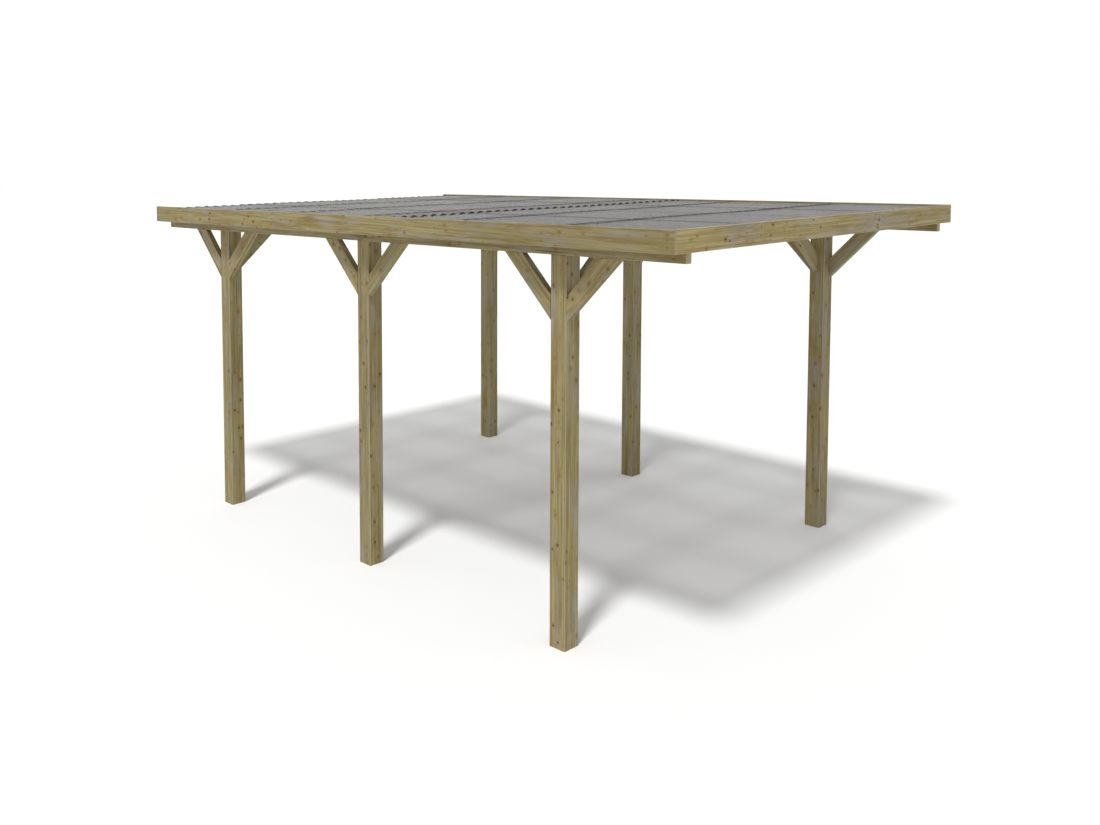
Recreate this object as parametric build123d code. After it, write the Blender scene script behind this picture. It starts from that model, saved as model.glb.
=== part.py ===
"""Open timber carport: two rows of braced posts under a low sloping roof of corrugated sheets.

Millimetres. The origin is on the ground under the middle of the roof, +Y runs from
the front to the back along the rows, and the left row is at -X. The roof falls to the back.
"""
import os
from math import cos, hypot, radians, sin, sqrt, tan

from build123d import *

# Roof as seen from above, and how it lies
roof_length = 5080
roof_width = 3120
headroom = 2145  # ground to the underside of the beams at the middle posts
fall = 0.0185  # drop towards the back for each unit of length

# Posts
post_side = 115
post_chamfer = 5
post_inset = 122  # outside of the roof to the outer face of a post
post_pitch = 1705  # between post centres along a row
front_overhang = 788  # front of the roof to the front face of the front posts

# Beams over the rows and the braces under them
beam_thick = 45
beam_high = 95
brace_wide = 95
brace_leg = 355  # along the post, below the beam
inward_drop = 385  # along the post, below the rafter
inward_reach = 440  # along the rafter, from the post
timber_chamfer = 3

# Rafters across the beams
rafter_thick = 45
rafter_high = 70
rafter_notch = 25
rafter_set_back = 15  # from the middle of a post to the middle of the rafter over it

# Boards around the roof
board_thick = 20
board_high = 120
board_drop = 54  # underside of the beam up to the lower edge of the boards

# Corrugated sheets
sheets_across = 4
waves_per_sheet = 10
waves_per_lap = 1
wave_depth = 18
wave_steepness = 34  # degrees, of the straight flank between a crest and a hollow
sheet_thick = 2
end_lap = 150
front_sheet_show = 2216  # front of the roof to the front edge of the back sheets

# Clearances
seat = 0.3  # between two pieces that bear on each other
sheet_edge_gap = 2

# Places that follow from the sizes above
front = -roof_length / 2
back = roof_length / 2
post_outer = roof_width / 2 - post_inset
post_inner = post_outer - post_side
post_centre = (post_outer + post_inner) / 2
beam_inner = post_outer - beam_thick
board_inner = roof_width / 2 - board_thick
behind_front_board = front + board_thick + seat
first_post = front + front_overhang + post_side / 2
post_rows_y = [first_post, first_post + post_pitch, first_post + 2 * post_pitch]
rafter_low = beam_high - rafter_notch
rafter_top = rafter_low + rafter_high
sheet_step = sheet_thick + seat
waves_across = sheets_across * waves_per_sheet - (sheets_across - 1) * waves_per_lap
sheets_left = -board_inner + sheet_edge_gap
pitch = 2 * -sheets_left / waves_across

SIDES = {"left": -1, "right": 1}
ROWS = {"front": 0, "middle": 1, "back": 2}


def underside(y):
    """Height of the underside of the beams at a place along the roof."""
    return headroom - fall * (y - post_rows_y[1])


def along_roof(section, start, end, lift=0):
    """Carry a cross-section, drawn above the beam underside, down the slope from start to end."""
    face = Plane((0, start, underside(start) + lift), x_dir=(1, 0, 0), z_dir=(0, -1, 0)) * section
    run = end - start
    return Solid.extrude(face.faces()[0], Vector(0, run, -fall * run - lift))


def planed_section(wide, high, chamfer_size):
    """Cross-section of a planed timber with its four corners taken off."""
    section = Rectangle(wide, high)
    return chamfer(section.vertices(), chamfer_size)


def timber_section(x_from, x_to, low, high):
    """Planed cross-section between two widths and two heights."""
    centre = Pos((x_from + x_to) / 2, (low + high) / 2)
    return centre * planed_section(abs(x_to - x_from), high - low, timber_chamfer)


def ease_long_edges(timber):
    """Take the four long edges off a straight timber."""
    long_edges = timber.edges().sort_by(Edge.length)[-4:]
    return timber.chamfer(timber_chamfer, None, long_edges)


def make_post(side, y):
    """Post with a shoulder under the beam and a tongue beside it that reaches the rafter."""
    top = underside(y) + beam_high
    section = Pos(side * post_centre, y) * planed_section(post_side, post_side, post_chamfer)
    post = extrude(section, top)
    shoulder = side * (beam_inner - seat)
    clear = side * (post_outer + post_side)
    inside = side * (post_inner - post_side)
    waste = Polygon(
        (shoulder, -seat),
        (clear, -seat),
        (clear, 2 * beam_high),
        (inside, 2 * beam_high),
        (inside, rafter_low - seat),
        (shoulder, rafter_low - seat),
        align=None,
    )
    return post - along_roof(waste, y - post_side, y + post_side)


def make_beam(side):
    """Beam that lies on the shoulders of one row of posts."""
    section = timber_section(side * beam_inner, side * post_outer, 0, beam_high)
    return along_roof(section, behind_front_board, back)


def brace_profile(leg_rise):
    """Corners of a brace at 45 degrees as (out from the post, up from its lowest corner)."""
    lower = brace_leg
    upper = brace_leg - brace_wide * sqrt(2)
    rise = brace_leg - upper
    return [
        (seat, seat),
        (lower / (1 - leg_rise), lower / (1 - leg_rise)),
        (upper / (1 - leg_rise), rise + upper / (1 - leg_rise)),
        (seat, rise + seat),
    ]


def make_row_brace(side, y, way):
    """Brace from a post to the underside of the beam, towards the front or the back."""
    face = y + way * post_side / 2
    foot = underside(face) - brace_leg - seat
    corners = [(face + way * out, foot + up) for out, up in brace_profile(-way * fall)]
    profile = Plane.YZ * Polygon(*corners, align=None)
    brace = Solid.extrude(profile.faces()[0], Vector(side * beam_thick, 0, 0))
    return Pos(side * beam_inner, 0, 0) * ease_long_edges(brace)


def make_cross_brace(side, y):
    """Flatter brace from a corner post to the rafter above it, towards the other row."""
    top = rafter_low - seat
    foot = top - inward_drop
    rise = brace_wide * hypot(inward_drop, inward_reach) / inward_reach
    short_reach = inward_reach * (1 - rise / inward_drop)
    corners = [
        (side * (post_inner - seat), foot),
        (side * (post_inner - inward_reach), top),
        (side * (post_inner - short_reach), top),
        (side * (post_inner - seat), foot + rise),
    ]
    profile = Polygon(*corners, align=None)
    return ease_long_edges(along_roof(profile, y - beam_thick / 2, y + beam_thick / 2))


def make_rafter(y):
    """Rafter notched over both beams, its ends level with the back of the side boards."""
    end = board_inner - seat
    notch_in = beam_inner - seat
    notch_out = post_outer + seat
    notch_top = beam_high + seat
    right_half = [
        (notch_in, rafter_low),
        (notch_in, notch_top),
        (notch_out, notch_top),
        (notch_out, rafter_low),
        (end, rafter_low),
        (end, rafter_top),
    ]
    left_half = [(-x, z) for x, z in reversed(right_half)]
    outline = Polygon(*right_half, *left_half, align=None)
    return along_roof(outline, y - rafter_thick / 2, y + rafter_thick / 2)


def make_side_board(side):
    """Board over the rafter ends, the full length of the roof."""
    outside = side * roof_width / 2
    section = timber_section(side * board_inner, outside, board_drop, board_drop + board_high)
    return along_roof(section, front, back)


def make_front_board():
    """Board between the side boards that closes the front of the roof."""
    end = board_inner - seat
    section = Pos(0, board_drop + board_high / 2) * Rectangle(2 * end, board_high)
    return ease_long_edges(along_roof(section, front, front + board_thick))


def wave_line(left, height, waves):
    """Run of waves that starts on a crest: round crests and hollows joined by straight flanks."""
    steep = radians(wave_steepness)
    across = sin(steep) - (1 - cos(steep)) / tan(steep)
    radius = (pitch / 4 - wave_depth / (2 * tan(steep))) / across
    half_arc = radius * sin(steep)
    drop = radius * (1 - cos(steep))
    edges = []
    for wave in range(waves):
        crest = left + wave * pitch
        hollow = crest + pitch / 2
        end = crest + pitch
        points = [
            (crest, height + wave_depth),
            (crest + half_arc, height + wave_depth - drop),
            (hollow - half_arc, height + drop),
            (hollow, height),
            (hollow + half_arc, height + drop),
            (end - half_arc, height + wave_depth - drop),
            (end, height + wave_depth),
        ]
        edges.append(TangentArc(points[0], points[1], tangent=(1, 0)))
        edges.append(Line(points[1], points[2]))
        edges.append(TangentArc(points[2], points[3], tangent=(cos(steep), -sin(steep))))
        edges.append(TangentArc(points[3], points[4], tangent=(1, 0)))
        edges.append(Line(points[4], points[5]))
        edges.append(TangentArc(points[5], points[6], tangent=(cos(steep), sin(steep))))
    return edges


def wave_section(first_wave):
    """Cross-section of one corrugated sheet."""
    left = sheets_left + first_wave * pitch
    right = left + waves_per_sheet * pitch
    low = rafter_top + seat
    crest = low + wave_depth
    under = wave_line(left, low, waves_per_sheet)
    over = wave_line(left, low + sheet_thick, waves_per_sheet)
    ends = [Line((x, crest), (x, crest + sheet_thick)) for x in (left, right)]
    return make_face(under + over + ends)


def make_sheet(column, is_back):
    """One sheet; every second column lies over its neighbours, the back ones over the front ones."""
    step_up = (column % 2) * sheet_step
    section = Pos(0, step_up) * wave_section(column * (waves_per_sheet - waves_per_lap))
    lap_edge = front + front_sheet_show
    if is_back:
        return along_roof(section, lap_edge, back, 2 * sheet_step + seat)
    return along_roof(section, behind_front_board, lap_edge + end_lap)


def build():
    """All pieces by name."""
    pieces = {}
    for side_name, side in SIDES.items():
        pieces[f"beam_{side_name}"] = make_beam(side)
        pieces[f"side_board_{side_name}"] = make_side_board(side)
        for row_name, row in ROWS.items():
            y = post_rows_y[row]
            name = f"{row_name}_{side_name}"
            pieces[f"post_{name}"] = make_post(side, y)
            pieces[f"brace_{name}_forward"] = make_row_brace(side, y, -1)
            pieces[f"brace_{name}_rearward"] = make_row_brace(side, y, 1)
            if row_name != "middle":
                pieces[f"brace_{name}_inward"] = make_cross_brace(side, y + rafter_set_back)
    pieces["front_board"] = make_front_board()

    halfway = post_pitch / 2
    rafter_places = [behind_front_board + rafter_thick / 2]
    over_first_post = post_rows_y[0] + rafter_set_back
    rafter_places += [over_first_post + step * halfway for step in range(5)]
    rafter_places += [back - rafter_thick / 2]
    for number, y in enumerate(rafter_places, start=1):
        pieces[f"rafter_{number}"] = make_rafter(y)

    for column in range(sheets_across):
        pieces[f"sheet_front_{column + 1}"] = make_sheet(column, False)
        pieces[f"sheet_back_{column + 1}"] = make_sheet(column, True)
    return pieces


os.makedirs("parts", exist_ok=True)
for piece_name, piece in build().items():
    export_step(piece, f"parts/{piece_name}.step")
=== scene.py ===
"""Looks of a timber carport with a smoked corrugated roof, in metres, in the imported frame.

The timber and the sheets are the frame's own nodes and only get their finish here.
The fixings are modelled here, as by hand, and so is the studio.
"""

import math

import bpy
from mathutils import Matrix, Vector
from mathutils.bvhtree import BVHTree


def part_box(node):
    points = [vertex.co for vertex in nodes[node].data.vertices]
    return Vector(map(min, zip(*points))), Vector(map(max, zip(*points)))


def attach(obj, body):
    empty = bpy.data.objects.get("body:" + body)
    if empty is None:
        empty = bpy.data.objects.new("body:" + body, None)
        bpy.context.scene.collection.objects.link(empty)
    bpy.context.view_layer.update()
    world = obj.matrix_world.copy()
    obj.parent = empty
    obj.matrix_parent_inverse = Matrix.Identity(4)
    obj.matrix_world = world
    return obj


bl_info = {
    "name": "Timber Carport Looks",
    "version": (1, 0, 0),
    "blender": (4, 5, 0),
    "location": "View3D > Sidebar > Carport",
    "description": "Finishes the carport's timber and roof, adds its fixings and the studio",
    "category": "Object",
}

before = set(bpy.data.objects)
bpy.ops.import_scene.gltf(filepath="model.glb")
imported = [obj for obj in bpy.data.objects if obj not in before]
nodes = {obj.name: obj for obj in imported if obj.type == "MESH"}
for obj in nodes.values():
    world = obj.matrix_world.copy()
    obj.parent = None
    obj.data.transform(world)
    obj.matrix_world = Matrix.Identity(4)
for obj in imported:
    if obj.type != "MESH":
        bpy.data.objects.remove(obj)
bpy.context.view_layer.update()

# the sheets' waves, which the nodes' boxes don't tell: pitch, first crest and waves across
WAVE_PITCH = 0.0831351
FIRST_CREST = -1.538
WAVES_ACROSS = 38
RAFTERS = range(1, 8)


def from_hex(code):
    """An sRGB hex colour as the linear one that shaders and colour properties take."""
    parts = [int(code[i : i + 2], 16) / 255 for i in (0, 2, 4)]
    return tuple(p / 12.92 if p <= 0.04045 else ((p + 0.055) / 1.055) ** 2.4 for p in parts)


def colour(label, text, code):
    """A colour a user may change, with its default given as sRGB hex."""
    return bpy.props.FloatVectorProperty(
        name=label, description=text, default=from_hex(code), subtype="COLOR", size=3, min=0, max=1
    )


def length(label, text, default):
    """A length a user may change, in metres."""
    return bpy.props.FloatProperty(
        name=label, description=text, default=default, min=0, subtype="DISTANCE", unit="LENGTH"
    )


def amount(label, text, default, top=1.0):
    """A plain number a user may change, from nothing to its top."""
    return bpy.props.FloatProperty(name=label, description=text, default=default, min=0, max=top)


class PineLooks(bpy.types.PropertyGroup):
    """Colours and grain of the planed, pressure-treated pine."""

    olive: colour("Olive", "Main colour of the green-tinted pine", "877a49")
    straw: colour("Straw", "Pale early wood between the rings", "9c916a")
    lilac: colour("Grey lilac", "Greyed patches where the tint has faded", "928d82")
    rust: colour("Rust", "Orange-brown patches of resin-rich wood", "7e5d30")
    late: colour("Late wood", "Dark side of each growth ring", "66572e")
    knot: colour("Knot", "Heart of a knot", "33230f")
    # painted highlight: the arris colour pales the chamfered long edges, where light catches them
    arris_highlight: colour("Arris", "Planed long edges, paler than the faces", "a39c8c")
    end: colour("End grain", "Sawn ends", "b0a27c")
    ring_gap: length("Ring gap", "Distance between two rings on a planed face", 0.011)
    fibre: length("Fibre", "Width of one fine streak of fibres", 0.0045)
    knot_wide: length("Knot width", "Widest knot, across the grain", 0.015)
    knot_gap: length("Knot spacing", "Size of the cell that may hold one knot", 0.054)
    depth: amount("Colour depth", "Strength of the wood's colour, one leaves it as it is", 1.04, 2)


class SheetLooks(bpy.types.PropertyGroup):
    """Tint and clearness of the corrugated roof sheets."""

    tint: colour("Tint", "Smoked grey of the plastic", "848381")
    dust: colour("Dust", "Film that rain leaves in the hollows", "94928e")
    # the cut-edge colour is partly the tint seen through the sheet's depth, partly painted shade of
    # the gap at the lap
    cut: colour("Cut edge", "Sawn ends, where the tint is seen through its depth", "1e1d1b")
    # painted shade: this colour darkens the sheet over each rafter, standing in for the rafter's
    # shade seen through it
    painted_rafter_shade: colour("Painted shade", "The sheet over a rafter, where it looks darker", "454441")
    cover: amount("Cover", "How much one side of a sheet hides, both sides add up", 0.47)
    gloss_rough: amount("Roughness", "Roughness of the moulded surface", 0.16)


class FixingSizes(bpy.types.PropertyGroup):
    """Sizes of what holds the roof and the timber together, and seals the lap."""

    cap_wide: length("Cap width", "Width of a roof screw's sealing cap", 0.014)
    cap_high: length("Cap height", "Height of the cap's rim over the crest", 0.0018)
    cap_every: bpy.props.IntProperty(
        name="Crests per cap", description="Crests from one roof screw to the next",
        default=4, min=1,
    )
    head_wide: length("Head width", "Width of a countersunk screw head", 0.009)
    head_proud: length("Head proud", "How far a countersunk head stands over the wood", 0.0002)
    washer_wide: length("Washer width", "Width of the washer under a coach screw", 0.022)
    filler_wide: length("Filler width", "Width of the foam strips over the rafters", 0.034)
    bead_wide: length("Bead width", "Width of the sealing bead along the sheets' lap", 0.014)
    bead_high: length("Bead height", "Height of the sealing bead over the lower sheets", 0.010)


class StudioSet(bpy.types.PropertyGroup):
    """The floor and the light that the carport is shown in."""

    floor: colour("Floor", "Matte painted studio floor", "efefee")
    sky: amount("Soft light", "Strength of the light from all round", 0.60, 5)
    key: amount("Key light", "Strength of the wide light from the left", 2.35, 20)
    key_spread: bpy.props.FloatProperty(
        name="Key spread", description="How wide the key light is, which softens its shadows",
        default=math.radians(8), min=0, max=math.pi, subtype="ANGLE", unit="ROTATION",
    )


# ---------------------------------------------------------------- materials


def add_node(tree, kind, options=None, values=None, links=None):
    """Adds one node, sets its options and sockets, and links the given outputs into it."""
    node = tree.nodes.new(kind)
    for key, value in (options or {}).items():
        setattr(node, key, value)
    for key, value in (values or {}).items():
        node.inputs[key].default_value = value
    for key, output in (links or {}).items():
        tree.links.new(output, node.inputs[key])
    return node


def new_material(name):
    """An empty node material and its tree."""
    material = bpy.data.materials.new(name)
    material.use_nodes = True
    material.node_tree.nodes.clear()
    return material, material.node_tree


# Pressure-treated pine, planed and with eased edges: an olive tint over straw wood, long
# rings and fibres, small brown knots that the rings bend round, greyed and resin-brown
# patches, a painted highlight along the arrises and paler sawn ends. It gives the eye a dry,
# softly streaked timber.
def treated_pine(name, turn, light):
    """Planed, pressure-treated pine: turn lays its grain along the piece, light scales its tone,
    which on the front board is painted light.
    """
    looks = bpy.context.scene.carport_pine
    material, tree = new_material(name)
    place = add_node(tree, "ShaderNodeTexCoord")
    along = add_node(
        tree, "ShaderNodeMapping", {"vector_type": "POINT"},
        {"Rotation": turn}, {"Vector": place.outputs["Object"]},
    )
    facing = add_node(
        tree, "ShaderNodeMapping", {"vector_type": "NORMAL"},
        {"Rotation": turn}, {"Vector": place.outputs["Normal"]},
    )

    # noises, each stretched along the grain: features per metre, detail, roughness, shift
    fine = 1 / looks.fibre
    noise = {}
    for key, scale, detail, rough, shift in (
        ("ragged", (70, 190, 190), 2, 0.60, (6, 2, 7)),
        ("broad", (0.12, 6.5, 6.5), 1, 0.50, (3.1, 0.7, 1.9)),
        ("clear", (1.1, 9, 9), 2, 0.50, (4, 4, 1)),
        ("fibres", (2.6, fine, fine), 3, 0.62, (0.4, 0.2, 0.9)),
        ("streaks", (1.1, fine * 0.38, fine * 0.38), 3, 0.60, (5.2, 3.3, 0.1)),
        ("drift", (2.2, fine * 0.13, fine * 0.13), 3, 0.60, (1.7, 6.1, 2.4)),
        ("checks", (1.5, fine * 0.5, fine * 0.5), 1, 0.50, (9, 2, 4)),
        ("greyed", (3.0, 16, 16), 3, 0.60, (2, 8, 5)),
        ("resin", (3.4, 20, 20), 3, 0.65, (7, 1, 3)),
        ("tone", (0.5, 1.4, 1.4), 1, 0.50, (1, 4, 6)),
        ("pith", (0.5, fine * 0.7, fine * 0.7), 3, 0.60, (0, 0, 0)),
    ):
        lay = add_node(
            tree, "ShaderNodeMapping", None, {"Scale": scale, "Location": shift},
            {"Vector": along.outputs["Vector"]},
        )
        noise[key] = add_node(
            tree, "ShaderNodeTexNoise", None, {"Scale": 1, "Detail": detail, "Roughness": rough},
            {"Vector": lay.outputs["Vector"]},
        ).outputs["Fac"]

    # knots: one may lie in each cell, and a face shows those that it cuts through
    cell = 1 / looks.knot_gap
    lay = add_node(
        tree, "ShaderNodeMapping", None, {"Scale": (cell * 0.72, cell, cell)},
        {"Vector": along.outputs["Vector"]},
    )
    cells = add_node(
        tree, "ShaderNodeTexVoronoi", None, {"Scale": 1}, {"Vector": lay.outputs["Vector"]}
    )
    chance = add_node(
        tree, "ShaderNodeSeparateColor", None, None, {"Color": cells.outputs["Color"]}
    )

    # the part of each pattern between two values, spread from its least to its most
    share = {}
    for key, source, low, high, least, most in (
        ("ragged", noise["ragged"], 0.3, 0.7, -0.02, 0.03),
        ("knot size", chance.outputs[0], 0.0, 1.0, 0.35, 1.0),
        ("straw", noise["streaks"], 0.36, 0.64, 0.0, 1.0),
        ("greyed", noise["greyed"], 0.46, 0.66, 0.0, 0.72),
        ("resin", noise["resin"], 0.50, 0.70, 0.0, 0.50),
        ("drift", noise["drift"], 0.48, 0.70, 0.0, 0.46),
        ("clear", noise["clear"], 0.38, 0.62, 0.06, 0.25),
        ("fibres", noise["fibres"], 0.46, 0.74, 0.0, 0.50),
        ("checks", noise["checks"], 0.71, 0.78, 0.0, 0.55),
        ("pith", noise["pith"], 0.42, 0.66, 0.0, 0.6),
        ("tone", noise["tone"], 0.30, 0.70, 0.87 * light, 1.05 * light),
        ("dull", noise["fibres"], 0.3, 0.7, 0.58, 0.80),
    ):
        share[key] = add_node(
            tree, "ShaderNodeMapRange", {"interpolation_type": "SMOOTHSTEP"},
            {"From Min": low, "From Max": high, "To Min": least, "To Max": most},
            {"Value": source},
        ).outputs["Result"]

    # each knot has a heart and a resin halo, and pushes the rings aside
    away = add_node(
        tree, "ShaderNodeMath", {"operation": "ADD"}, None,
        {0: cells.outputs["Distance"], 1: share["ragged"]},
    )
    away = add_node(
        tree, "ShaderNodeMath", {"operation": "DIVIDE"}, None,
        {0: away.outputs[0], 1: share["knot size"]},
    )
    half = looks.knot_wide / 2 * cell
    for key, outer, inner, most in (
        ("knot", 1.10, 0.55, 0.92), ("halo", 2.8, 0.8, 0.75), ("bulge", 6.0, 0.0, 0.10)
    ):
        share[key] = add_node(
            tree, "ShaderNodeMapRange", {"interpolation_type": "SMOOTHSTEP"},
            {"From Min": half * outer, "From Max": half * inner, "To Max": most},
            {"Value": away.outputs[0]},
        ).outputs["Result"]

    # growth rings: level lines of the broad noise, which varies by 0.8 over each of its features
    pushed = add_node(
        tree, "ShaderNodeMath", {"operation": "ADD"}, None, {0: noise["broad"], 1: share["bulge"]}
    )
    turned = add_node(
        tree, "ShaderNodeMath", {"operation": "MULTIPLY"},
        {1: 2 * math.pi * 0.8 / (6.5 * looks.ring_gap)}, {0: pushed.outputs[0]},
    )
    waves = add_node(tree, "ShaderNodeMath", {"operation": "SINE"}, None, {0: turned.outputs[0]})
    dark = add_node(
        tree, "ShaderNodeMapRange", {"interpolation_type": "SMOOTHSTEP"},
        {"From Min": -0.5, "From Max": 1.0}, {"Value": waves.outputs[0]},
    )
    rings = add_node(
        tree, "ShaderNodeMath", {"operation": "MULTIPLY"}, None,
        {0: dark.outputs["Result"], 1: share["clear"]},
    )

    # sawn ends face along the grain; arrises face between two sides and get a painted highlight
    sides = add_node(
        tree, "ShaderNodeSeparateXYZ", None, None, {"Vector": facing.outputs["Vector"]}
    )
    between = add_node(
        tree, "ShaderNodeMath", {"operation": "MULTIPLY"}, None,
        {0: sides.outputs["Y"], 1: sides.outputs["Z"]},
    )
    for key, source, low, high, most in (
        ("sawn", sides.outputs["X"], 0.75, 0.90, 1.0),
        ("arris_highlight", between.outputs[0], 0.20, 0.42, 0.42),
    ):
        size = add_node(tree, "ShaderNodeMath", {"operation": "ABSOLUTE"}, None, {0: source})
        share[key] = add_node(
            tree, "ShaderNodeMapRange", {"interpolation_type": "SMOOTHSTEP"},
            {"From Min": low, "From Max": high, "To Max": most}, {"Value": size.outputs[0]},
        ).outputs["Result"]

    # the colours, each laid over those before it by its own share
    wood = add_node(
        tree, "ShaderNodeMix", {"data_type": "RGBA"},
        {6: (*looks.olive, 1), 7: (*looks.straw, 1)}, {0: share["straw"]},
    )
    for shade, cover in (
        (looks.lilac, share["greyed"]),
        (looks.rust, share["resin"]),
        (looks.late, share["drift"]),
        (looks.late, rings.outputs[0]),
        (looks.late, share["fibres"]),
        (looks.rust, share["halo"]),
        (looks.knot, share["knot"]),
        (looks.knot, share["checks"]),
        # painted highlight along the arrises
        (looks.arris_highlight, share["arris_highlight"]),
    ):
        wood = add_node(
            tree, "ShaderNodeMix", {"data_type": "RGBA"}, {7: (*shade, 1)},
            {0: cover, 6: wood.outputs[2]},
        )
    end_wood = add_node(
        tree, "ShaderNodeMix", {"data_type": "RGBA"},
        {6: (*looks.end, 1), 7: (*looks.late, 1)}, {0: share["pith"]},
    )
    wood = add_node(
        tree, "ShaderNodeMix", {"data_type": "RGBA"}, None,
        {0: share["sawn"], 6: wood.outputs[2], 7: end_wood.outputs[2]},
    )
    toned = add_node(
        tree, "ShaderNodeHueSaturation", None, {"Saturation": looks.depth},
        {"Value": share["tone"], "Color": wood.outputs[2]},
    )

    # relief: fibres stand a few hundredths of a millimetre, checks and knots sink in
    relief = add_node(
        tree, "ShaderNodeMath", {"operation": "MULTIPLY"}, {1: 0.6}, {0: noise["fibres"]}
    )
    for source, lift in ((rings.outputs[0], 1.0), (share["checks"], -2.9), (share["knot"], -0.55)):
        relief = add_node(
            tree, "ShaderNodeMath", {"operation": "MULTIPLY_ADD"}, {1: lift},
            {0: source, 2: relief.outputs[0]},
        )
    bump = add_node(
        tree, "ShaderNodeBump", None, {"Strength": 0.55, "Distance": 0.0007},
        {"Height": relief.outputs[0]},
    )
    shader = add_node(
        tree, "ShaderNodeBsdfPrincipled", None,
        {"Metallic": 0.0, "IOR": 1.52, "Specular IOR Level": 0.42},
        {
            "Base Color": toned.outputs["Color"],
            "Roughness": share["dull"],
            "Normal": bump.outputs["Normal"],
        },
    )
    add_node(tree, "ShaderNodeOutputMaterial", links={"Surface": shader.outputs[0]})
    return material


# Extruded PVC sheet, smoked grey and see-through: smooth and a little glossy, the floor and
# the rafters show through it darkened, a painted shade band darkens it further over each
# rafter, and a thin film of dust lies along the hollows.
def smoked_sheet(name):
    """Extruded, smoked PVC that lets the floor and the rafters show through."""
    looks = bpy.context.scene.carport_sheet
    material, tree = new_material(name)
    place = add_node(tree, "ShaderNodeTexCoord")
    # rain streaks run down the slope: 30 mm wide, over half a metre long
    streak_lay = add_node(
        tree, "ShaderNodeMapping", None, {"Scale": (33, 1.6, 10)},
        {"Vector": place.outputs["Object"]}
    )
    streaks = add_node(
        tree, "ShaderNodeTexNoise", None, {"Scale": 1, "Detail": 3, "Roughness": 0.55},
        {"Vector": streak_lay.outputs["Vector"]},
    )
    speckle = add_node(
        tree, "ShaderNodeTexNoise", None, {"Scale": 210, "Detail": 2, "Roughness": 0.6},
        {"Vector": place.outputs["Object"]},
    )
    film = add_node(
        tree, "ShaderNodeMapRange", {"interpolation_type": "SMOOTHSTEP"},
        {"From Min": 0.42, "From Max": 0.75, "To Min": 0.0, "To Max": 0.22},
        {"Value": streaks.outputs["Fac"]},
    )
    skin = add_node(
        tree, "ShaderNodeMix", {"data_type": "RGBA"},
        {6: (*looks.tint, 1), 7: (*looks.dust, 1)}, {0: film.outputs["Result"]},
    )
    # over each rafter the sheet gets painted shade, darker and duller, for the rafter's shade seen
    # through it, and that fades out past the foam strip
    spot = add_node(
        tree, "ShaderNodeSeparateXYZ", None, None, {"Vector": place.outputs["Object"]}
    ).outputs["Y"]
    nearest = None
    for number in RAFTERS:
        off = add_node(
            tree, "ShaderNodeMath", {"operation": "SUBTRACT"},
            {1: middle_of(f"rafter_{number}").y}, {0: spot},
        )
        off = add_node(tree, "ShaderNodeMath", {"operation": "ABSOLUTE"}, None, {0: off.outputs[0]})
        if nearest:
            off = add_node(
                tree, "ShaderNodeMath", {"operation": "MINIMUM"}, None,
                {0: off.outputs[0], 1: nearest.outputs[0]},
            )
        nearest = off
    half = bpy.context.scene.carport_fixings.filler_wide / 2
    fade, inset = 0.060, 0.004
    painted_rafter_shade = add_node(
        tree, "ShaderNodeMapRange", {"interpolation_type": "SMOOTHSTEP"},
        {"From Min": half + fade, "From Max": half - inset, "To Min": 0.0, "To Max": 0.86},
        {"Value": nearest.outputs[0]},
    )
    skin = add_node(
        tree, "ShaderNodeMix", {"data_type": "RGBA"}, {7: (*looks.painted_rafter_shade, 1)},
        {0: painted_rafter_shade.outputs["Result"], 6: skin.outputs[2]},
    )
    # the sawn ends are darker, partly because the eye looks into the sheet's depth there and partly
    # as painted shade of the gap at the lap
    facing = add_node(
        tree, "ShaderNodeSeparateXYZ", None, None, {"Vector": place.outputs["Normal"]}
    )
    sawn = add_node(
        tree, "ShaderNodeMath", {"operation": "ABSOLUTE"}, None, {0: facing.outputs["Y"]}
    )
    sawn = add_node(
        tree, "ShaderNodeMapRange", None, {"From Min": 0.85, "From Max": 0.95},
        {"Value": sawn.outputs[0]},
    )
    skin = add_node(
        tree, "ShaderNodeMix", {"data_type": "RGBA"}, {7: (*looks.cut, 1)},
        {0: sawn.outputs["Result"], 6: skin.outputs[2]},
    )
    dull = add_node(
        tree, "ShaderNodeMapRange", None,
        {
            "From Min": 0.3, "From Max": 0.7,
            "To Min": looks.gloss_rough, "To Max": looks.gloss_rough + 0.12,
        },
        {"Value": speckle.outputs["Fac"]},
    )
    dull = add_node(
        tree, "ShaderNodeMath", {"operation": "MAXIMUM"}, None,
        {0: dull.outputs["Result"], 1: painted_rafter_shade.outputs["Result"]},
    )
    bump = add_node(
        tree, "ShaderNodeBump", None, {"Strength": 0.12, "Distance": 0.0003},
        {"Height": speckle.outputs["Fac"]},
    )
    shader = add_node(
        tree, "ShaderNodeBsdfPrincipled", None,
        {"Metallic": 0.0, "IOR": 1.54, "Alpha": looks.cover, "Specular IOR Level": 0.5},
        {
            "Base Color": skin.outputs[2],
            "Roughness": dull.outputs[0],
            "Normal": bump.outputs["Normal"],
        },
    )
    add_node(tree, "ShaderNodeOutputMaterial", links={"Surface": shader.outputs[0]})
    return material


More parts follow.
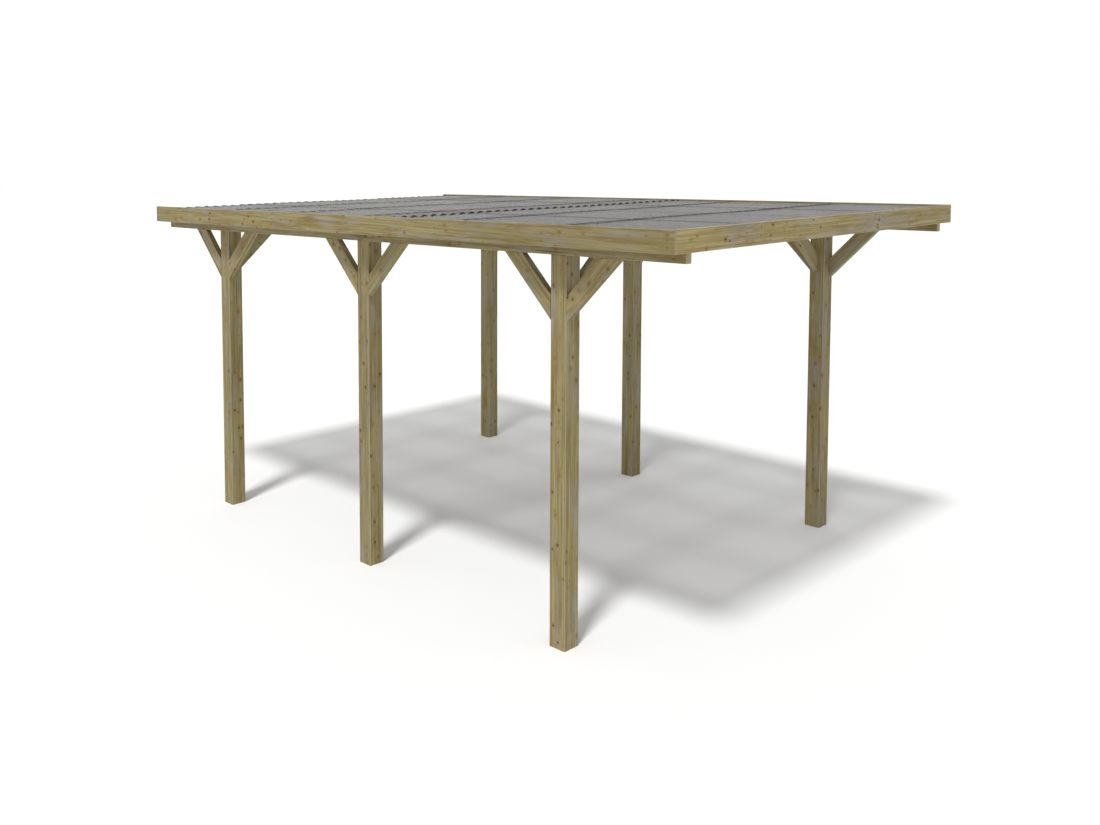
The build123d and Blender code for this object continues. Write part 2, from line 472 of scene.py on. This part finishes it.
# Steel screws with a brown-green organic coat, baked on: dull, close to the timber's own
# colour, and rubbed to bare metal here and there, so the heads hardly show in the wood.
def coated_steel(name):
    """Brown-green coated steel of the timber screws."""
    material, tree = new_material(name)
    place = add_node(tree, "ShaderNodeTexCoord")
    # rubbed spots of 3 mm
    rubbed = add_node(
        tree, "ShaderNodeTexNoise", None, {"Scale": 330, "Detail": 3, "Roughness": 0.6},
        {"Vector": place.outputs["Object"]},
    )
    bare = add_node(
        tree, "ShaderNodeMapRange", None, {"From Min": 0.58, "From Max": 0.72},
        {"Value": rubbed.outputs["Fac"]},
    )
    skin = add_node(
        tree, "ShaderNodeMix", {"data_type": "RGBA"},
        {6: (*from_hex("5a4f33"), 1), 7: (*from_hex("8a8472"), 1)}, {0: bare.outputs["Result"]},
    )
    bump = add_node(
        tree, "ShaderNodeBump", None, {"Strength": 0.3, "Distance": 0.0002},
        {"Height": rubbed.outputs["Fac"]},
    )
    shader = add_node(
        tree, "ShaderNodeBsdfPrincipled", None, {"Metallic": 0.6, "Roughness": 0.5},
        {"Base Color": skin.outputs[2], "Normal": bump.outputs["Normal"]},
    )
    add_node(tree, "ShaderNodeOutputMaterial", links={"Surface": shader.outputs[0]})
    return material


# Closed-cell polyethylene foam, cut in waves: charcoal, matte and finely pitted. The charcoal
# strips also stand in, as painted shade, for the shadow in the gap over each rafter, so each
# rafter reads as a dark line through the smoked sheets.
def foam_and_rafter_shade(name):
    """Charcoal foam of the strips between rafters and sheets, which also stands in for the shade
    over each rafter.
    """
    material, tree = new_material(name)
    place = add_node(tree, "ShaderNodeTexCoord")
    # cells of 1.5 mm, coarser than real ones so that they show
    cells = add_node(
        tree, "ShaderNodeTexVoronoi", None, {"Scale": 650}, {"Vector": place.outputs["Object"]}
    )
    skin = add_node(
        tree, "ShaderNodeMix", {"data_type": "RGBA"},
        {6: (*from_hex("1d1d1c"), 1), 7: (*from_hex("343331"), 1)}, {0: cells.outputs["Distance"]},
    )
    bump = add_node(
        tree, "ShaderNodeBump", None, {"Strength": 0.6, "Distance": 0.0004},
        {"Height": cells.outputs["Distance"]},
    )
    shader = add_node(
        tree, "ShaderNodeBsdfPrincipled", None, {"Roughness": 0.9, "IOR": 1.5},
        {"Base Color": skin.outputs[2], "Normal": bump.outputs["Normal"]},
    )
    add_node(tree, "ShaderNodeOutputMaterial", links={"Surface": shader.outputs[0]})
    return material


# Butyl sealing bead, gunned on: near black, rubbery and uneven. Its dark body also stands in,
# as painted shade, for the shadow gap under the crests at the lap, so the lap reads as a dark
# waving line across the roof.
def lap_bead_and_shade(name):
    """Near-black butyl of the sealing bead along the lap, which also stands in for the lap's shade.
    """
    material, tree = new_material(name)
    place = add_node(tree, "ShaderNodeTexCoord")
    # lumps of 8 mm from the gun's uneven push
    lumps = add_node(
        tree, "ShaderNodeTexNoise", None, {"Scale": 125, "Detail": 3},
        {"Vector": place.outputs["Object"]}
    )
    skin = add_node(
        tree, "ShaderNodeMix", {"data_type": "RGBA"},
        {6: (*from_hex("252422"), 1), 7: (*from_hex("3a3936"), 1)}, {0: lumps.outputs["Fac"]},
    )
    dull = add_node(
        tree, "ShaderNodeMapRange", None, {"To Min": 0.45, "To Max": 0.75},
        {"Value": lumps.outputs["Fac"]}
    )
    bump = add_node(
        tree, "ShaderNodeBump", None, {"Strength": 0.6, "Distance": 0.0008},
        {"Height": lumps.outputs["Fac"]}
    )
    shader = add_node(
        tree, "ShaderNodeBsdfPrincipled", None, {"IOR": 1.5},
        {
            "Base Color": skin.outputs[2],
            "Roughness": dull.outputs["Result"],
            "Normal": bump.outputs["Normal"],
        },
    )
    add_node(tree, "ShaderNodeOutputMaterial", links={"Surface": shader.outputs[0]})
    return material


# Moulded polyethylene cap over the roof screws: matte grey with a faint orange-peel skin.
def moulded_cap(name):
    """Grey moulded plastic of the roof screws' sealing caps."""
    material, tree = new_material(name)
    place = add_node(tree, "ShaderNodeTexCoord")
    peel = add_node(
        tree, "ShaderNodeTexNoise", None, {"Scale": 700, "Detail": 2},
        {"Vector": place.outputs["Object"]}
    )
    worn = add_node(
        tree, "ShaderNodeTexNoise", None, {"Scale": 60, "Detail": 3},
        {"Vector": place.outputs["Object"]}
    )
    skin = add_node(
        tree, "ShaderNodeMix", {"data_type": "RGBA"},
        {6: (*from_hex("8f8d89"), 1), 7: (*from_hex("a19f9a"), 1)}, {0: worn.outputs["Fac"]},
    )
    bump = add_node(
        tree, "ShaderNodeBump", None, {"Strength": 0.3, "Distance": 0.0002},
        {"Height": peel.outputs["Fac"]}
    )
    shader = add_node(
        tree, "ShaderNodeBsdfPrincipled", None, {"Roughness": 0.70, "IOR": 1.5},
        {"Base Color": skin.outputs[2], "Normal": bump.outputs["Normal"]},
    )
    add_node(tree, "ShaderNodeOutputMaterial", links={"Surface": shader.outputs[0]})
    return material


def matte_floor(name):
    """Matte painted floor, with a trace of roller texture."""
    material, tree = new_material(name)
    place = add_node(tree, "ShaderNodeTexCoord")
    roller = add_node(
        tree, "ShaderNodeTexNoise", None, {"Scale": 2.2, "Detail": 4},
        {"Vector": place.outputs["Object"]}
    )
    bright = bpy.context.scene.carport_studio.floor
    skin = add_node(
        tree, "ShaderNodeMix", {"data_type": "RGBA"},
        {6: (*bright, 1), 7: (*[c * 0.985 for c in bright], 1)}, {0: roller.outputs["Fac"]},
    )
    shader = add_node(
        tree, "ShaderNodeBsdfPrincipled", None,
        {"Roughness": 0.9, "IOR": 1.45, "Specular IOR Level": 0.2},
        {"Base Color": skin.outputs[2]},
    )
    add_node(tree, "ShaderNodeOutputMaterial", links={"Surface": shader.outputs[0]})
    return material


def give(piece, material):
    """Gives a piece one material, in its object's own slot."""
    if not piece.material_slots:
        piece.data.materials.append(None)
    for slot in piece.material_slots:
        slot.link = "OBJECT"
        slot.material = material


# ---------------------------------------------------------------- modelling by hand


def deselect():
    """Leaves nothing selected."""
    if bpy.context.object and bpy.context.object.mode != "OBJECT":
        bpy.ops.object.mode_set(mode="OBJECT")
    bpy.ops.object.select_all(action="DESELECT")


def pick_faces(piece, wanted):
    """Selects, in edit mode, just the faces whose centre and normal pass the test."""
    bpy.ops.object.mode_set(mode="OBJECT")
    for part in (piece.data.vertices, piece.data.edges, piece.data.polygons):
        for item in part:
            item.select = False
    for face in piece.data.polygons:
        face.select = wanted(face.center, face.normal)
    bpy.ops.object.mode_set(mode="EDIT")
    bpy.ops.mesh.select_mode(type="FACE")


def turn_disc(name, wide, high, sides, steps):
    """A fixing on the origin: a disc whose top is inset, then raised or sunk, step by step."""
    deselect()
    bpy.ops.mesh.primitive_cylinder_add(
        vertices=sides, radius=wide / 2, depth=high, location=(0, 0, high / 2)
    )
    piece = bpy.context.object
    piece.name = name
    bpy.ops.object.transform_apply(location=True, rotation=True, scale=True)
    level = high
    for inset, rise in steps:
        pick_faces(
            piece,
            lambda middle, normal: normal.z > 0.9 and abs(middle.z - level) < 1e-5
            and middle.xy.length < 1e-5,
        )
        bpy.ops.mesh.inset(thickness=inset, depth=0)
        if rise:
            bpy.ops.mesh.extrude_region_move(TRANSFORM_OT_translate={"value": (0, 0, rise)})
            level += rise
    deselect()
    return piece


def copy_to_places(pattern, name, places):
    """Copies a fixing to each place, turned to face outwards, and joins the copies."""
    deselect()
    for spot, outwards in places:
        twin = pattern.copy()
        twin.data = pattern.data.copy()
        turn = Vector((0, 0, 1)).rotation_difference(Vector(outwards)).to_matrix().to_4x4()
        twin.data.transform(Matrix.Translation(spot) @ turn)
        bpy.context.collection.objects.link(twin)
        twin.select_set(True)
        bpy.context.view_layer.objects.active = twin
    bpy.data.objects.remove(pattern, do_unlink=True)
    bpy.ops.object.join()
    group = bpy.context.object
    group.name = name
    bpy.ops.object.mode_set(mode="EDIT")
    bpy.ops.mesh.select_all(action="SELECT")
    bpy.ops.mesh.normals_make_consistent(inside=False)
    bpy.ops.object.mode_set(mode="OBJECT")
    bpy.ops.object.shade_smooth_by_angle(angle=math.radians(40))
    return group


def sheet_tops():
    """A tree of all the roof sheets' faces, to find where a screw meets a crest."""
    points, faces = [], []
    for name, node in nodes.items():
        if name.startswith("sheet_"):
            start = len(points)
            points += [node.matrix_world @ v.co for v in node.data.vertices]
            faces += [[start + v for v in face.vertices] for face in node.data.polygons]
    return BVHTree.FromPolygons(points, faces)


def copy_of_sheets(rows):
    """One throwaway object of the sheets whose names start so, to drape strips on."""
    deselect()
    for name, node in nodes.items():
        if name.startswith(rows):
            twin = node.copy()
            twin.data = node.data.copy()
            twin.parent = None
            bpy.context.collection.objects.link(twin)
            twin.select_set(True)
            bpy.context.view_layer.objects.active = twin
    bpy.ops.object.join()
    return bpy.context.object


def flat_strip(name, left, right, middle_y, wide, height, steps):
    """A thin grid across the carport, ready to be draped."""
    deselect()
    bpy.ops.mesh.primitive_grid_add(
        x_subdivisions=steps, y_subdivisions=1, size=1,
        location=((left + right) / 2, middle_y, height),
    )
    strip = bpy.context.object
    strip.name = name
    strip.scale = (right - left, wide, 1)
    bpy.ops.object.transform_apply(location=True, rotation=True, scale=True)
    return strip


def drape(strip, bed, up, gap):
    """Projects a strip up or down on to the sheets, and leaves a small gap."""
    fall = strip.modifiers.new("drape", "SHRINKWRAP")
    fall.target = bed
    fall.wrap_method = "PROJECT"
    fall.use_project_z = True
    fall.use_positive_direction = up
    fall.use_negative_direction = not up
    fall.offset = gap
    bpy.ops.object.modifier_apply(modifier=fall.name)


def middle_of(node):
    """Middle of a node's box."""
    low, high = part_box(node)
    return (low + high) / 2


def roof_edges():
    """Where a strip across the roof starts and ends, just inside the sheets' outer edges."""
    inset = 0.004
    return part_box("sheet_front_1")[0].x + inset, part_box("sheet_front_4")[1].x - inset


def roof_fall():
    """How much the roof falls towards the back, per metre, from the first and last rafters."""
    first, last = middle_of("rafter_1"), middle_of("rafter_7")
    return (first.z - last.z) / (last.y - first.y)


def underside(y):
    """Height of the beams' underside at a place along the carport."""
    low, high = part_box("beam_left")
    return low.z + roof_fall() * (high.y - y)


def brace_screws(name, sunk):
    """Where the two screws of a brace go: in its sloping lower edge, near each end."""
    low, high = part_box(name)
    middle = (low + high) / 2
    post = middle_of("post_%s_%s" % tuple(name.split("_")[1:3]))
    along_y = not name.endswith("inward")
    if along_y:
        away = 1 if middle.y > post.y else -1
        near, far = (low.y, high.y) if away > 0 else (high.y, low.y)
        foot, top = Vector((middle.x, near, low.z)), Vector((middle.x, far, high.z))
    else:
        away = 1 if middle.x > post.x else -1
        near, far = (low.x, high.x) if away > 0 else (high.x, low.x)
        foot, top = Vector((near, middle.y, low.z)), Vector((far, middle.y, high.z))
    edge = (top - foot).normalized()
    from_end = 0.055
    across = Vector((1, 0, 0)) if along_y else Vector((0, 1, 0))
    outwards = edge.cross(across)
    if outwards.z > 0:
        outwards.negate()
    return [
        (foot + edge * from_end - outwards * sunk, tuple(outwards)),
        (top - edge * from_end - outwards * sunk, tuple(outwards)),
    ]


# ---------------------------------------------------------------- operators


class FinishTimber(bpy.types.Operator):
    """Gives every post, beam, brace, rafter and board planed pine with its own grain direction"""

    bl_idname = "carport.finish_timber"
    bl_label = "Finish the Timber"

    def execute(self, context):
        quarter, eighth = math.pi / 2, math.pi / 4
        # the braces towards the other row don't rise at 45 degrees as the rest do
        rise, run = 0.385, 0.440
        lean = math.atan2(rise, run)
        for start, end, finish, turn, light in (
            ("post_", "", "pine_planed_posts", (0, quarter, 0), 1.0),
            ("beam_", "", "pine_planed_beams", (0, 0, -quarter), 1.0),
            ("side_board_", "", "pine_planed_side_boards", (0, 0, -quarter), 0.96),
            # painted light: the front board's tone is raised, lightening the board whose front face
            # the key light hardly reaches
            ("front_board", "", "pine_front_board_painted_light", (0, 0, 0), 1.19),
            ("rafter_", "", "pine_planed_rafters", (0, 0, 0), 1.0),
            ("brace_", "_forward", "pine_planed_forward_braces", (eighth, 0, -quarter), 1.0),
            ("brace_", "_rearward", "pine_planed_rearward_braces", (-eighth, 0, -quarter), 1.0),
            ("brace_", "left_inward", "pine_planed_left_braces", (0, lean, 0), 1.0),
            ("brace_", "right_inward", "pine_planed_right_braces", (0, -lean, 0), 1.0),
        ):
            pine = treated_pine(finish, turn, light)
            for name, node in nodes.items():
                if name.startswith(start) and name.endswith(end):
                    give(node, pine)
        return {"FINISHED"}


class FinishSheets(bpy.types.Operator):
    """Gives the corrugated roof sheets their smoked, see-through plastic"""

    bl_idname = "carport.finish_sheets"
    bl_label = "Finish the Roof Sheets"

    def execute(self, context):
        smoked = smoked_sheet("pvc_smoked_extruded")
        for name, node in nodes.items():
            if name.startswith("sheet_"):
                give(node, smoked)
        return {"FINISHED"}


class RoofScrews(bpy.types.Operator):
    """Sets a capped screw on every few crests of the roof sheets, over each rafter"""

    bl_idname = "carport.roof_screws"
    bl_label = "Set the Roof Screws"

    def execute(self, context):
        sizes = context.scene.carport_fixings
        # three insets, each raised less than the last, round the cap's top
        step = sizes.cap_wide / 9
        cap = turn_disc(
            "cap", sizes.cap_wide, sizes.cap_high, 12,
            [(step, 0.0012), (step, 0.0010), (step, 0.0005)],
        )
        tops = sheet_tops()
        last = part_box("sheet_front_4")[1].x
        above, edge, sunk = 3, 0.02, 0.0004
        spots = []
        for number in RAFTERS:
            rafter_y = middle_of(f"rafter_{number}").y
            crest = 1
            while FIRST_CREST + crest * WAVE_PITCH < last - edge:
                start = Vector((FIRST_CREST + crest * WAVE_PITCH, rafter_y, above))
                spot = tops.ray_cast(start, Vector((0, 0, -1)))[0]
                if spot is None:
                    raise RuntimeError(f"no sheet under the screw over rafter {number}")
                spots.append((spot - Vector((0, 0, sunk)), (0, roof_fall(), 1)))
                crest += sizes.cap_every
        caps = copy_to_places(cap, "roof_screw_caps", spots)
        give(caps, moulded_cap("polyethylene_moulded_caps"))
        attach(caps, "root")
        return {"FINISHED"}


class RafterFillers(bpy.types.Operator):
    """Lays the foam strips that fill the waves between each rafter and the roof sheets, dark to
    stand in for the shade there
    """

    bl_idname = "carport.rafter_fillers"
    bl_label = "Lay the Rafter Fillers"

    def execute(self, context):
        wide = context.scene.carport_fixings.filler_wide
        left, right = roof_edges()
        bed = copy_of_sheets("sheet_")
        points_per_wave, gap = 8, -0.0006
        # from a rafter's middle up to the strips' flat side, just under the rafter's top
        seat = 0.0338
        strips = []
        for number in RAFTERS:
            low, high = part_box(f"rafter_{number}")
            middle_y = (low.y + high.y) / 2
            strip = flat_strip(
                f"filler_{number}", left, right, middle_y, wide, high.z - 0.02,
                WAVES_ACROSS * points_per_wave,
            )
            drape(strip, bed, True, gap)
            bpy.ops.object.mode_set(mode="EDIT")
            bpy.ops.mesh.select_all(action="SELECT")
            bpy.ops.mesh.extrude_region_move(TRANSFORM_OT_translate={"value": (0, 0, -0.001)})
            bpy.ops.transform.resize(
                value=(1, 1, 0), center_override=(0, middle_y, (low.z + high.z) / 2 + seat)
            )
            bpy.ops.mesh.select_all(action="SELECT")
            bpy.ops.mesh.normals_make_consistent(inside=False)
            bpy.ops.object.mode_set(mode="OBJECT")
            strips.append(strip)
        bpy.data.objects.remove(bed, do_unlink=True)
        deselect()
        for strip in strips:
            strip.select_set(True)
        context.view_layer.objects.active = strips[0]
        bpy.ops.object.join()
        fillers = context.object
        fillers.name = "rafter_fillers"
        bpy.ops.object.shade_smooth_by_angle(angle=math.radians(50))
        give(fillers, foam_and_rafter_shade("foam_fillers_and_rafter_shade"))
        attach(fillers, "root")
        return {"FINISHED"}


class LapSeal(bpy.types.Operator):
    """Lays the dark sealing bead along the lap, where the back sheets end over the front ones; its
    dark body also stands in for the lap's shade
    """

    bl_idname = "carport.lap_seal"
    bl_label = "Seal the Lap"

    def execute(self, context):
        sizes = context.scene.carport_fixings
        left, right = roof_edges()
        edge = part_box("sheet_back_1")[0].y
        bed = copy_of_sheets("sheet_front")
        points_per_wave, above, gap = 12, 2.5, 0.0002
        bead = flat_strip(
            "lap_seal", left, right, edge - sizes.bead_wide / 2, sizes.bead_wide, above,
            WAVES_ACROSS * points_per_wave,
        )
        drape(bead, bed, False, gap)
        body = bead.modifiers.new("thickness", "SOLIDIFY")
        body.thickness = sizes.bead_high
        body.offset = 1
        ease = bead.modifiers.new("rounded", "BEVEL")
        ease.width = sizes.bead_wide * 0.22
        ease.segments = 2
        ease.limit_method = "ANGLE"
        ease.angle_limit = math.radians(60)
        for modifier in list(bead.modifiers):
            bpy.ops.object.modifier_apply(modifier=modifier.name)
        bpy.data.objects.remove(bed, do_unlink=True)
        bpy.ops.object.shade_smooth_by_angle(angle=math.radians(50))
        give(bead, lap_bead_and_shade("butyl_bead_and_lap_shade"))
        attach(bead, "root")
        return {"FINISHED"}


class TimberScrews(bpy.types.Operator):
    """Drives the countersunk screws into the boards and braces"""

    bl_idname = "carport.timber_screws"
    bl_label = "Drive the Timber Screws"

    def execute(self, context):
        sizes = context.scene.carport_fixings
        deep = 0.0015
        head = turn_disc(
            "head", sizes.head_wide, deep, 12,
            [(sizes.head_wide * 0.10, 0.0), (sizes.head_wide * 0.18, -0.0008)],
        )
        sunk = deep - sizes.head_proud
        spots = []
        for number in RAFTERS:
            middle = middle_of(f"rafter_{number}")
            for side, board in ((-1, "side_board_left"), (1, "side_board_right")):
                low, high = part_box(board)
                face = low.x if side < 0 else high.x
                for lift in (-0.018, 0.018):
                    spot = Vector((face - side * sunk, middle.y, middle.z + lift))
                    spots.append((spot, (side, 0, 0)))
        # the front board takes seven pairs, evenly spaced from the middle
        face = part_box("front_board")[0].y
        rafter, spacing = middle_of("rafter_1"), 0.47
        for place in range(-3, 4):
            for lift in (-0.020, 0.020):
                spot = Vector((place * spacing, face + sunk, rafter.z + lift))
                spots.append((spot, (0, -1, 0)))
        for name in nodes:
            if name.startswith("brace_"):
                spots += brace_screws(name, sunk)
        heads = copy_to_places(head, "timber_screw_heads", spots)
        give(heads, coated_steel("steel_coated_screws"))
        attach(heads, "root")
        return {"FINISHED"}


class CoachScrews(bpy.types.Operator):
    """Sets two coach screws with washers where each beam is fixed to a post"""

    bl_idname = "carport.coach_screws"
    bl_label = "Set the Coach Screws"

    def execute(self, context):
        sizes = context.scene.carport_fixings
        washer_thick, across_flats, head_high = 0.002, 0.013, 0.0055
        washer = turn_disc("washer", sizes.washer_wide, washer_thick, 20, [(0.0012, 0.0003)])
        bolt = turn_disc(
            "bolt", across_flats / math.cos(math.pi / 6), head_high, 6, [(0.0012, 0.0006)]
        )
        bolt.data.transform(Matrix.Translation((0, 0, 0.0022)))
        deselect()
        bolt.select_set(True)
        washer.select_set(True)
        context.view_layer.objects.active = washer
        bpy.ops.object.join()
        screw = context.object
        apart, lift = 0.028, 0.056  # from the post's middle, and up from the beam's underside
        spots = []
        for side, beam in ((-1, "beam_left"), (1, "beam_right")):
            low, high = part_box(beam)
            face = low.x if side < 0 else high.x
            for row in ("front", "middle", "back"):
                post = "post_%s_%s" % (row, "left" if side < 0 else "right")
                middle = middle_of(post)
                under = underside(middle.y)
                for along in (-apart, apart):
                    spots.append((Vector((face, middle.y + along, under + lift)), (side, 0, 0)))
        screws = copy_to_places(screw, "coach_screws", spots)
        give(screws, coated_steel("steel_coated_coach_screws"))
        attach(screws, "root")
        return {"FINISHED"}


class StudioOperator(bpy.types.Operator):
    """Lays the floor, hangs the soft light and sets the camera at the photograph's angle"""

    bl_idname = "carport.set_stage"
    bl_label = "Set the Stage"

    def execute(self, context):
        scene = context.scene
        studio = scene.carport_studio
        deselect()
        bpy.ops.mesh.primitive_plane_add(size=120, location=(0, 0, 0))
        floor = context.object
        floor.name = "studio_floor"
        give(floor, matte_floor("paint_matte_studio_floor"))

        world = bpy.data.worlds.new("studio_light")
        world.use_nodes = True
        tree = world.node_tree
        tree.nodes.clear()
        # the eye sees a white backdrop, while the light from all round has its own strength
        backdrop, around = (
            add_node(tree, "ShaderNodeBackground", None, {"Color": (1, 1, 1, 1), "Strength": power})
            for power in (1, studio.sky)
        )
        seen = add_node(tree, "ShaderNodeLightPath")
        both = add_node(
            tree, "ShaderNodeMixShader", None, None,
            {0: seen.outputs["Is Camera Ray"], 1: around.outputs[0], 2: backdrop.outputs[0]},
        )
        add_node(tree, "ShaderNodeOutputWorld", links={"Surface": both.outputs[0]})
        scene.world = world

        key = bpy.data.lights.new("key_light", "SUN")
        key.energy = studio.key
        key.angle = studio.key_spread
        lamp = bpy.data.objects.new("key_light", key)
        lamp.rotation_euler = Vector((1.06, 0.42, -2.25)).to_track_quat("-Z", "Y").to_euler()
        context.collection.objects.link(lamp)

        # placed and shifted so that the carport's lines fall where the photograph has them
        lens = bpy.data.cameras.new("photo_camera")
        lens.sensor_width = 36
        lens.lens = 35.575
        lens.shift_x = 0.0553
        lens.shift_y = -0.1742
        lens.clip_end = 200
        camera = bpy.data.objects.new("photo_camera", lens)
        camera.location = (-5.761, -5.580, 2.766)
        camera.rotation_euler = (math.radians(86), 0, math.radians(-44.39))
        context.collection.objects.link(camera)
        scene.camera = camera
        scene.view_settings.view_transform = "Standard"
        return {"FINISHED"}


class CarportPanel(bpy.types.Panel):
    """Lists the carport's steps and what a user may change"""

    bl_idname = "VIEW3D_PT_carport"
    bl_label = "Carport"
    bl_space_type = "VIEW_3D"
    bl_region_type = "UI"
    bl_category = "Carport"

    def draw(self, context):
        for holder, steps in (
            ("carport_pine", (FinishTimber,)),
            ("carport_sheet", (FinishSheets,)),
            ("carport_fixings", (RafterFillers, LapSeal, RoofScrews, TimberScrews, CoachScrews)),
            ("carport_studio", (StudioOperator,)),
        ):
            looks = getattr(context.scene, holder)
            box = self.layout.box()
            for key in looks.__annotations__:
                box.prop(looks, key)
            for step in steps:
                box.operator(step.bl_idname)


CLASSES = (
    PineLooks, SheetLooks, FixingSizes, StudioSet,
    FinishTimber, FinishSheets, RafterFillers, LapSeal, RoofScrews, TimberScrews, CoachScrews,
    StudioOperator, CarportPanel,
)


def register():
    for each in CLASSES:
        bpy.utils.register_class(each)
    bpy.types.Scene.carport_pine = bpy.props.PointerProperty(type=PineLooks)
    bpy.types.Scene.carport_sheet = bpy.props.PointerProperty(type=SheetLooks)
    bpy.types.Scene.carport_fixings = bpy.props.PointerProperty(type=FixingSizes)
    bpy.types.Scene.carport_studio = bpy.props.PointerProperty(type=StudioSet)


def unregister():
    for holder in ("carport_pine", "carport_sheet", "carport_fixings", "carport_studio"):
        delattr(bpy.types.Scene, holder)
    for each in reversed(CLASSES):
        bpy.utils.unregister_class(each)


def main():
    """Registers the add-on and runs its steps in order."""
    register()
    bpy.ops.carport.finish_timber()
    bpy.ops.carport.finish_sheets()
    bpy.ops.carport.rafter_fillers()
    bpy.ops.carport.lap_seal()
    bpy.ops.carport.roof_screws()
    bpy.ops.carport.timber_screws()
    bpy.ops.carport.coach_screws()
    bpy.ops.carport.set_stage()


if __name__ == "__main__":
    main()
